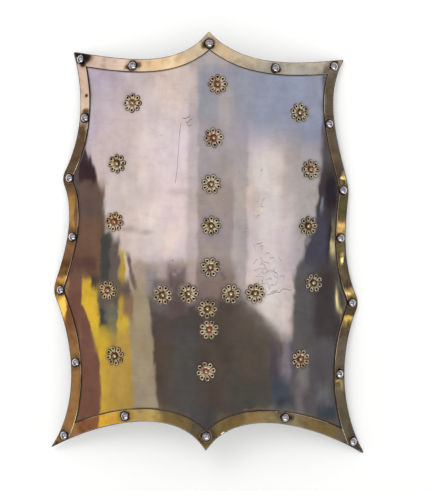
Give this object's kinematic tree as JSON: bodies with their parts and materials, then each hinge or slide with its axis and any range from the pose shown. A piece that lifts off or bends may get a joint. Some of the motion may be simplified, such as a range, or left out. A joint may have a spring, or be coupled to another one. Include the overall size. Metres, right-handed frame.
{
  "type": "heater shield",
  "caption": "Curved steel shield with scalloped edges, brass edging, dome rivets and pierced brass rosettes; a display or costume shield that lies face up.",
  "frame": {"origin": "on the ground, under the middle of the shield's bounding box as it lies face up", "axes": "+Y towards the shield's crest, +Z out of its face"},
  "size_m": [0.4664, 0.6114, 0.0778],
  "materials": {
    "plate_steel": "polished, hazed and scratched by handling",
    "edging_brass": "aged, tarnished brown round the rivets",
    "rivet_steel": "hammered and polished",
    "rosette_brass": "pale, rubbed bright on its rims",
    "stud_copper": "peened copper"
  },
  "bodies": {
    "root": {"plate": "plate_steel", "rivet_crest": "rivet_steel", "rivet_crest_to_top_right": "rivet_steel", "rivet_foot_left": "rivet_steel", "rivet_foot_left_to_left_lower": "rivet_steel", "rivet_foot_right": "rivet_steel", "rivet_foot_right_to_toe": "rivet_steel", "rivet_left_lower": "rivet_steel", "rivet_left_lower_to_left_upper": "rivet_steel", "rivet_left_upper": "rivet_steel", "rivet_left_upper_to_top_left": "rivet_steel", "rivet_right_lower": "rivet_steel", "rivet_right_lower_to_foot_right": "rivet_steel", "rivet_right_upper": "rivet_steel", "rivet_right_upper_to_right_lower": "rivet_steel", "rivet_toe": "rivet_steel", "rivet_toe_to_foot_left": "rivet_steel", "rivet_top_left": "rivet_steel", "rivet_top_left_to_crest": "rivet_steel", "rivet_top_right": "rivet_steel", "rivet_top_right_to_right_upper": "rivet_steel", "rosette_blade_1": "rosette_brass", "rosette_blade_2": "rosette_brass", "rosette_blade_3": "rosette_brass", "rosette_blade_4": "rosette_brass", "rosette_grip_1": "rosette_brass", "rosette_grip_2": "rosette_brass", "rosette_guard_1": "rosette_brass", "rosette_guard_2": "rosette_brass", "rosette_guard_3": "rosette_brass", "rosette_guard_4": "rosette_brass", "rosette_ring_crest": "rosette_brass", "rosette_ring_left_1": "rosette_brass", "rosette_ring_left_2": "rosette_brass", "rosette_ring_left_3": "rosette_brass", "rosette_ring_left_4": "rosette_brass", "rosette_ring_left_5": "rosette_brass", "rosette_ring_right_1": "rosette_brass", "rosette_ring_right_2": "rosette_brass", "rosette_ring_right_3": "rosette_brass", "rosette_ring_right_4": "rosette_brass", "rosette_ring_right_5": "rosette_brass", "rosette_ring_toe": "rosette_brass", "trim_bottom_left": "edging_brass", "trim_bottom_right": "edging_brass", "trim_left": "edging_brass", "trim_right": "edging_brass", "trim_top_left": "edging_brass", "trim_top_right": "edging_brass"}
  },
  "joints": []
}
